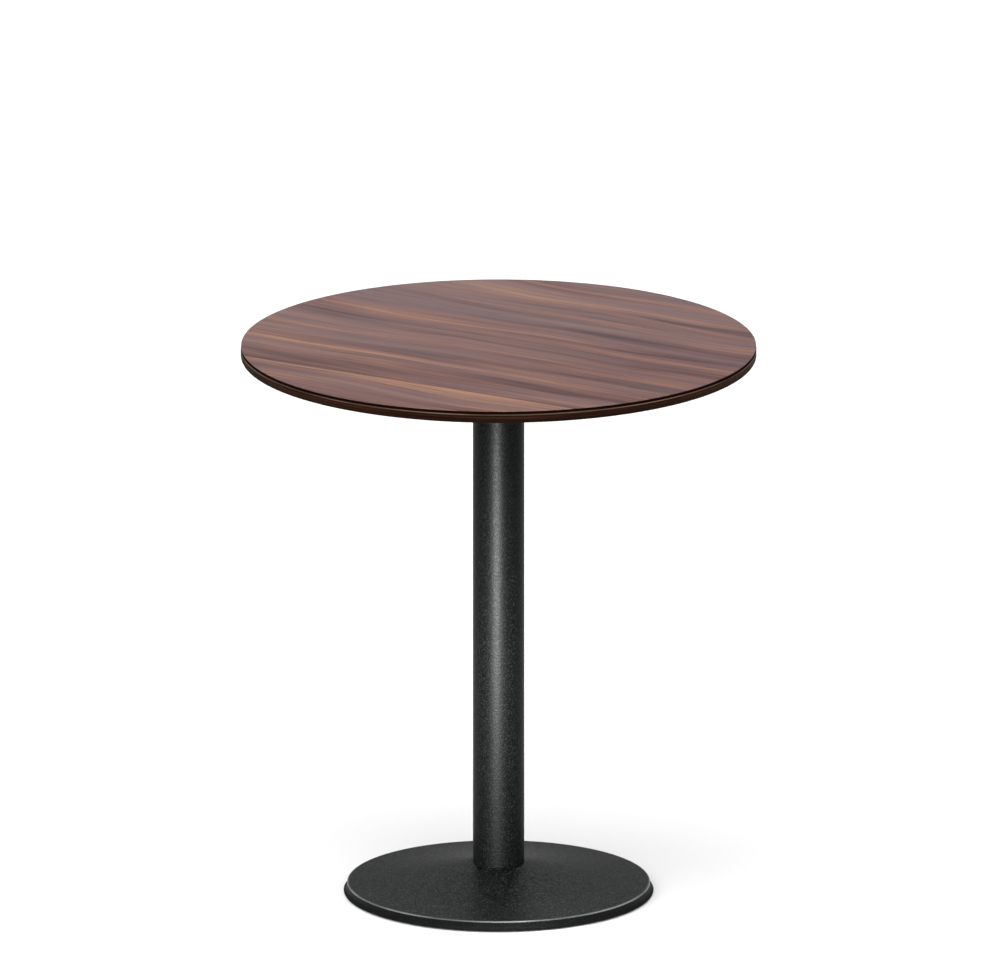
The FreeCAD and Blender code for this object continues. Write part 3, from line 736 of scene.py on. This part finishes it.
def rod_nut(name, node, zinc):
    """A hexagon nut, chamfered at both faces and at the bore."""
    low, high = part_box(node)
    corner = high.x
    flats = corner * math.sqrt(3)
    bore = ROD_HIGH.x + 0.05 * MM
    section = rounded_section([
        (bore, low.z + 0.5 * MM, 0),
        (bore + 0.5 * MM, low.z, 0.1 * MM),
        (flats / 2 * 0.97, low.z, 0.2 * MM),
        (corner, low.z + 0.75 * MM, 0),
        (corner, high.z - 0.75 * MM, 0),
        (flats / 2 * 0.97, high.z, 0.2 * MM),
        (bore + 0.5 * MM, high.z, 0.1 * MM),
        (bore, high.z - 0.5 * MM, 0),
    ], steps=3)
    placed(lathe(name, section, SMALL, flats=flats), "table", node, zinc)


def rod_washer(name, node, zinc):
    """Punched washer: rolled over on one edge, nearly sharp on the other."""
    low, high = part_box(node)
    bore = WASHER_BORE / 2
    section = rounded_section([
        (bore, low.z, 0.15 * MM),
        (high.x, low.z, 0.45 * MM),
        (high.x, high.z, 0.1 * MM),
        (bore, high.z, 0.3 * MM),
    ])
    placed(lathe(name, section, SMALL), "table", node, zinc)


def main():
    """Makes the materials and every piece, and gives the two carried CAD nodes theirs."""
    tube_powder = powder_coat("tube_powder_coat", grit=420.0, lump=140.0, dust=0.0, fleck=0.0045, gloss=0.05)
    cover_powder = powder_coat("cover_powder_coat", grit=350.0, lump=110.0,
                               dust=0.0005, fleck=0.056, gloss=0.15)
    cast_powder = powder_coat("cast_powder_coat", grit=600.0, lump=60.0, dust=0.003, fleck=0.02, gloss=0.24)
    zinc = zinc_steel()
    nylon = black_nylon()
    for node, material in (("top_core", particle_board()), ("top_backer", backer_sheet())):
        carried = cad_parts[node]
        carried.data.materials.clear()
        carried.data.materials.append(material)
    top_sheet(wood_laminate())
    edge_band(brown_plastic())
    column(tube_powder)
    base_cover(cover_powder)
    for name, node, rounding, slot, material in (
        ("spider", "top_spider", 1.2 * MM, "black_powder_coat", cast_powder),
        ("board_screws", "spider_screws", 0.2 * MM, "zinc_steel", zinc),
        ("spring_washer", "tie_rod_spring_washer", 0.25 * MM, "zinc_steel", zinc),
        ("weight", "base_ballast", 1.0 * MM, "cast_weight", cast_weight()),
        ("foot_plate", "column_foot_plate", 0.5 * MM, "bare_steel", mill_steel()),
    ):
        placed(softened(name, node, rounding), "table", node, material)
    tie_rod(zinc)
    rod_nut("upper_nut", "tie_rod_top_nut", zinc)
    rod_nut("lower_nut", "tie_rod_bottom_nut", zinc)
    rod_washer("upper_washer", "tie_rod_top_washer", zinc)
    rod_washer("lower_washer", "tie_rod_bottom_washer", zinc)
    for number in GLIDES:
        glide_pad(number, nylon)
        glide_screw(number, zinc)


# Studio


def studio_floor():
    """A pale, matt, faintly mottled disc."""
    mesh_data = bmesh.new()
    bmesh.ops.create_circle(mesh_data, cap_ends=True, segments=128, radius=FLOOR_RADIUS)
    floor = finished("floor", mesh_data)
    material, tree, shader = new_material("floor")
    mottle = grain(tree, place_in_metres(tree), 3.0, 3.0)
    pale = ramp(tree, mottle, (0.3, (0.965, 0.965, 0.965)), (0.7, (0.98, 0.98, 0.98)))
    join(tree, pale, shader, "Base Color")
    shader.inputs["Roughness"].default_value = 0.9
    shader.inputs["Specular IOR Level"].default_value = 0.1
    floor.data.materials.append(material)
    return floor


def soft_light(name, place, aim, width, height, beam, power):
    """A rectangular panel that shines from a place to an aim point, kept within a beam angle."""
    data = bpy.data.lights.new(name, "AREA")
    data.shape = "RECTANGLE"
    data.size = width
    data.size_y = height
    data.spread = beam
    data.energy = power
    lamp = bpy.data.objects.new(name, data)
    lamp.location = place
    lamp.rotation_euler = (Vector(aim) - Vector(place)).to_track_quat("-Z", "Y").to_euler()
    bpy.context.scene.collection.objects.link(lamp)
    return lamp


def soft_sun(name, place, width, strength):
    """A distant light that shines from a place towards the origin, as wide as a big softbox."""
    data = bpy.data.lights.new(name, "SUN")
    data.angle = width
    data.energy = strength
    lamp = bpy.data.objects.new(name, data)
    lamp.location = place
    lamp.rotation_euler = Vector(place).to_track_quat("Z", "Y").to_euler()
    bpy.context.scene.collection.objects.link(lamp)
    return lamp


def reserved(lamp, lit, shading=()):
    """Keeps a lamp to the objects it lights and, where any are given, to those that shade it."""
    lamp.light_linking.receiver_collection = bpy.data.collections.new(lamp.name + "_lit")
    for piece in lit:
        lamp.light_linking.receiver_collection.objects.link(piece)
    if shading:
        lamp.light_linking.blocker_collection = bpy.data.collections.new(lamp.name + "_shading")
        for piece in shading:
            lamp.light_linking.blocker_collection.objects.link(piece)


def studio_sky(seen, given):
    """White to the camera, and a dimmer even light for everything else."""
    world = bpy.data.worlds.new("studio")
    world.use_nodes = True
    tree = world.node_tree
    background = tree.nodes["Background"]
    seen_by_camera = add(tree, "ShaderNodeLightPath").outputs["Is Camera Ray"]
    strength = spread(tree, seen_by_camera, 0.0, 1.0, given, seen)
    tree.links.new(strength, background.inputs["Strength"])
    background.inputs["Color"].default_value = (1.0, 1.0, 1.0, 1.0)
    bpy.context.scene.world = world


def camera(azimuth, elevation, aim, frame_width, lens):
    """A camera that looks at a point from a direction, with a view of a given width there, in metres."""
    data = bpy.data.cameras.new("camera")
    data.lens = lens
    distance = frame_width * lens / data.sensor_width
    data.clip_end = distance * 2
    eye = bpy.data.objects.new("camera", data)
    back = Vector((
        math.sin(azimuth) * math.cos(elevation),
        -math.cos(azimuth) * math.cos(elevation),
        math.sin(elevation),
    ))
    eye.location = Vector(aim) + back * distance
    eye.rotation_euler = (-back).to_track_quat("-Z", "Y").to_euler()
    bpy.context.scene.collection.objects.link(eye)
    bpy.context.scene.camera = eye


def studio():
    """A broad key from the front, a strip for the column, and small lights for the crease and the top."""
    floor = studio_floor()
    soft_sun("key", place=(-0.4, -1.6, 2.2), width=math.radians(90), strength=3.3)
    strip = soft_light("strip", place=(-0.23, -1.5, 0.28), aim=(0, 0, 0.31),
                       width=0.12, height=0.08, beam=math.radians(37), power=12.5)
    soft_light("rim", place=(0.4, -1.6, 0.95), aim=(0.045, -0.205, 0.014),
               width=0.1, height=0.1, beam=math.radians(9), power=0.07)
    soft_light("back", place=(0.2, 1.9, 1.22), aim=(0, 0.2, 0.77),
               width=1.8, height=0.4, beam=math.radians(120), power=1.2)
    floor_fill = soft_sun("floor_fill", place=(0, 0, 1), width=math.radians(20), strength=0.45)
    studio_sky(seen=1.0, given=0.32)
    reserved(strip, lit=[bpy.data.objects["column"]])
    reserved(floor_fill, lit=[floor], shading=[floor])
    bpy.context.scene.view_settings.view_transform = "Standard"


main()
studio()
camera(azimuth=0.0, elevation=math.radians(15.05), aim=(0.0019, 0.0, 0.580), frame_width=1.3585, lens=1400)
